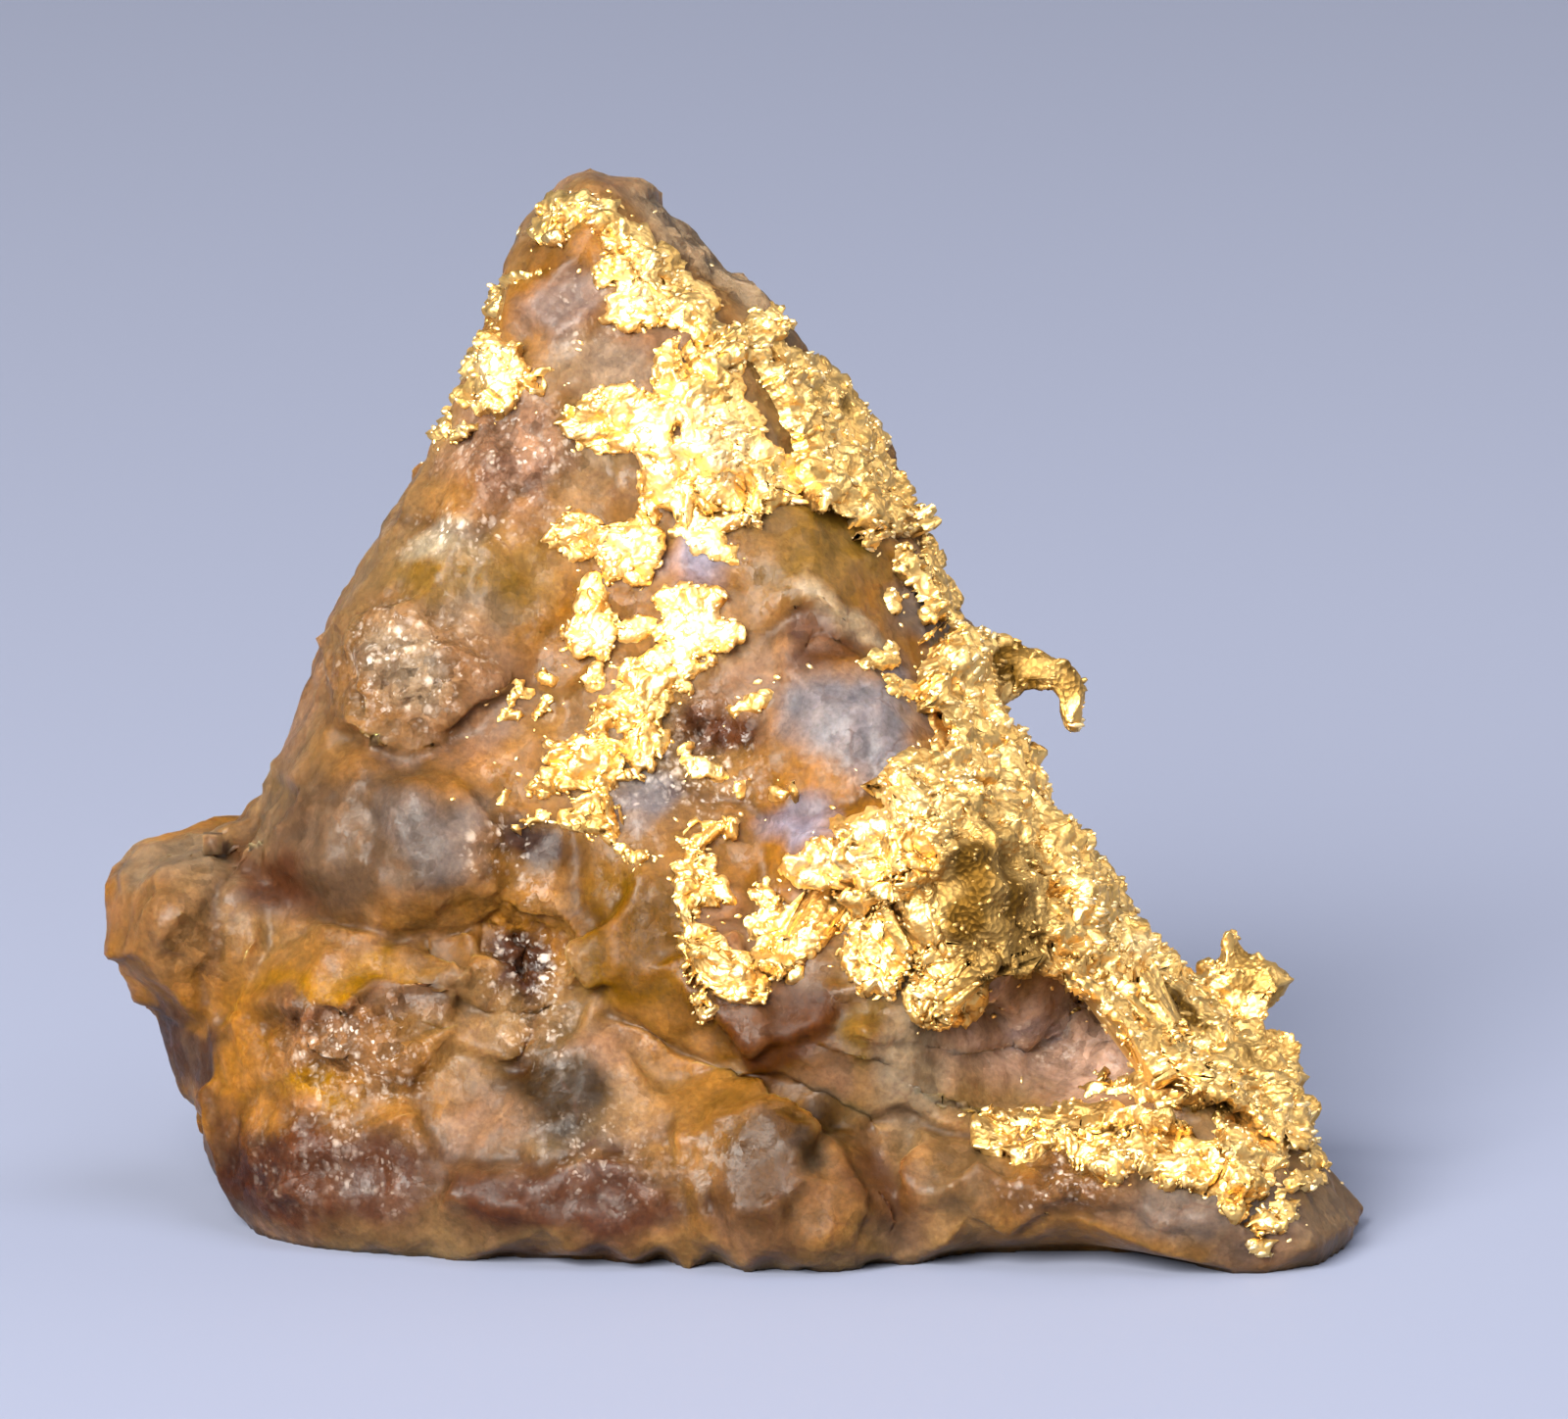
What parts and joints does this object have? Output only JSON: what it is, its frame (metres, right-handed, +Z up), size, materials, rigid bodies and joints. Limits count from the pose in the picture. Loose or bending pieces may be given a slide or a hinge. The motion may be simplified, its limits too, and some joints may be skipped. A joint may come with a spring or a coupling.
{
  "type": "native gold on quartz specimen",
  "caption": "Rough peaked fragment of iron-stained vein quartz that carries granular crusts, a drooping curtain and a small hook of native gold, and rests on its flat underside.",
  "frame": {"origin": "middle of the specimen's bounding box, on the floor it rests on", "axes": "+Z up from the flat underside, +X to the right along its longest side, -Y towards the front that carries the gold"},
  "size_m": [0.0322, 0.0192, 0.0264],
  "materials": {
    "quartz": "translucent iron-stained vein quartz with a glassy broken surface",
    "gold": "bright granular native gold"
  },
  "bodies": {
    "root": {"quartz_matrix": "quartz", "gold_crown_crust": "gold", "gold_left_edge_crust": "gold", "gold_upper_sheet": "gold", "gold_mid_crust": "gold", "gold_centre_crust": "gold", "gold_low_mid_crust": "gold", "gold_column_crust": "gold", "gold_curtain": "gold", "gold_ledge_crust": "gold", "gold_foot_crust": "gold"}
  },
  "joints": []
}
